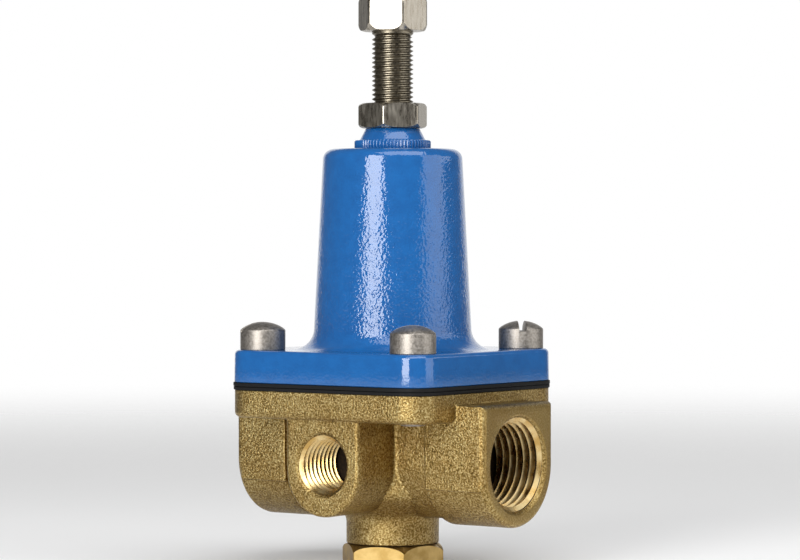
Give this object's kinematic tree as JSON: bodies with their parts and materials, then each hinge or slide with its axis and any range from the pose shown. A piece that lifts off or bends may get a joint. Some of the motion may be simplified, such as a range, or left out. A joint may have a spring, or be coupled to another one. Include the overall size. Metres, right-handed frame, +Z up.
{
  "type": "pressure reducing valve",
  "caption": "Small in-line spring and diaphragm pressure reducing valve with a hex adjusting screw, a lock nut and threaded pipe and gauge ports.",
  "frame": {"origin": "on the valve axis, at the underside of the bottom plug", "axes": "+Z up along the valve axis towards the adjusting screw; +X towards the outlet port, -X towards the inlet port, -Y towards the gauge port"},
  "size_m": [0.0704, 0.056, 0.1317],
  "materials": {
    "cast_brass": "sand cast",
    "turned_brass": "machined",
    "blue_enamel": "glossy",
    "steel": "machined, plated",
    "spring_steel": "drawn",
    "rubber": "matt",
    "acetal": "turned"
  },
  "bodies": {
    "housing": {"valve_body": "cast_brass", "bonnet": "blue_enamel", "bonnet_bushing": "blue_enamel", "bonnet_screws": "steel", "diaphragm": "rubber", "adjusting_spring": "spring_steel", "stem_guide": "acetal", "seat_ring": "steel", "seat_gasket": "rubber", "disc_spring": "spring_steel", "bottom_plug": "turned_brass", "plug_o_ring": "rubber"},
    "spring_seat": {"upper_spring_seat": "steel"},
    "adjuster": {"adjusting_screw": "steel"},
    "nut": {"lock_nut": "steel"},
    "stem_group": {"lower_spring_seat": "steel", "diaphragm_washer": "turned_brass", "stem_nut": "steel", "stem": "steel", "seat_disc": "rubber", "disc_washer": "steel", "disc_holder": "turned_brass", "disc_nut": "steel"}
  },
  "joints": [
    {"name": "spring_seat_slide", "type": "slide", "parent": "housing", "child": "spring_seat", "axis": [0, 0, 1], "range_m": [-0.014, 0.002], "deforming": ["adjusting_spring"]},
    {"name": "adjusting_screw_turn", "type": "hinge", "parent": "spring_seat", "child": "adjuster", "pos_m": [0, 0, 0.125], "axis": [0, 0, 1], "range_deg": [-4764, 681]},
    {"name": "lock_nut_turn", "type": "hinge", "parent": "housing", "child": "nut", "pos_m": [0, 0, 0.104], "axis": [0, 0, 1], "range_deg": [0, 90]},
    {"name": "stem_slide", "type": "slide", "parent": "housing", "child": "stem_group", "axis": [0, 0, 1], "range_m": [0, 0.0025], "deforming": ["adjusting_spring", "disc_spring", "diaphragm"]}
  ],
  "couplings": [
    {"joint": "adjusting_screw_turn", "follows": "spring_seat_slide", "rad_per_m": 5938.7}
  ]
}
